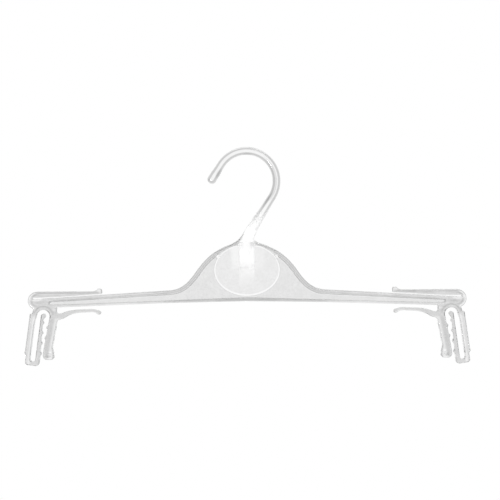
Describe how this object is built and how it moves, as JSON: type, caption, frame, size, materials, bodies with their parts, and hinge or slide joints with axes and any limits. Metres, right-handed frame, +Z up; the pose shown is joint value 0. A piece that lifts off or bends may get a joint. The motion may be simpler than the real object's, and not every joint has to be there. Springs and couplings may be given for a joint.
{
  "type": "clothes hanger",
  "caption": "Clear moulded clothes hanger for delicates, with a round hook, webbed centre plate, ribbed arms, strap tongues and fingers, and toothed end clips.",
  "frame": {"origin": "rail seat, the inner top of the hook's bow, on the hanger's middle plane", "axes": "+X along the arms towards the viewer's right, +Y away from the viewer through the hanger's thickness, +Z up"},
  "size_m": [0.3002, 0.0072, 0.1466],
  "materials": {
    "clear_plastic": "polished"
  },
  "bodies": {
    "moulding": {"hook": "clear_plastic", "centre_plate": "clear_plastic", "oval_panel": "clear_plastic", "arm_left": "clear_plastic", "arm_right": "clear_plastic", "end_loop_left": "clear_plastic", "end_loop_right": "clear_plastic", "clip_jaw_left": "clear_plastic", "clip_jaw_right": "clear_plastic", "clip_leg_left": "clear_plastic", "clip_leg_right": "clear_plastic"},
    "strap_tongue_left": {"strap_tongue_left": "clear_plastic"},
    "strap_tongue_right": {"strap_tongue_right": "clear_plastic"},
    "strap_finger_left": {"strap_finger_left": "clear_plastic"},
    "strap_finger_right": {"strap_finger_right": "clear_plastic"},
    "clip_spring_left": {"clip_spring_left": "clear_plastic"},
    "clip_spring_right": {"clip_spring_right": "clear_plastic"}
  },
  "joints": [
    {"name": "tongue_left_lift", "type": "hinge", "parent": "moulding", "child": "strap_tongue_left", "pos_m": [-0.14, 0, -0.09287], "axis": [0, -1, 0], "range_deg": [0, 6], "stiffness_Nm_per_rad": 2},
    {"name": "tongue_right_lift", "type": "hinge", "parent": "moulding", "child": "strap_tongue_right", "pos_m": [0.14, 0, -0.09287], "axis": [0, 1, 0], "range_deg": [0, 6], "stiffness_Nm_per_rad": 2},
    {"name": "finger_left_open", "type": "hinge", "parent": "moulding", "child": "strap_finger_left", "pos_m": [-0.1241, 0, -0.10744], "axis": [0, 1, 0], "range_deg": [-3, 6], "stiffness_Nm_per_rad": 1.5},
    {"name": "finger_right_open", "type": "hinge", "parent": "moulding", "child": "strap_finger_right", "pos_m": [0.1241, 0, -0.10744], "axis": [0, -1, 0], "range_deg": [-3, 6], "stiffness_Nm_per_rad": 1.5},
    {"name": "clip_left_open", "type": "hinge", "parent": "moulding", "child": "clip_spring_left", "pos_m": [-0.14121, 0, -0.13603], "axis": [0, -1, 0], "range_deg": [-4, 4.5], "stiffness_Nm_per_rad": 2},
    {"name": "clip_right_open", "type": "hinge", "parent": "moulding", "child": "clip_spring_right", "pos_m": [0.14121, 0, -0.13603], "axis": [0, 1, 0], "range_deg": [-4, 4.5], "stiffness_Nm_per_rad": 2}
  ]
}
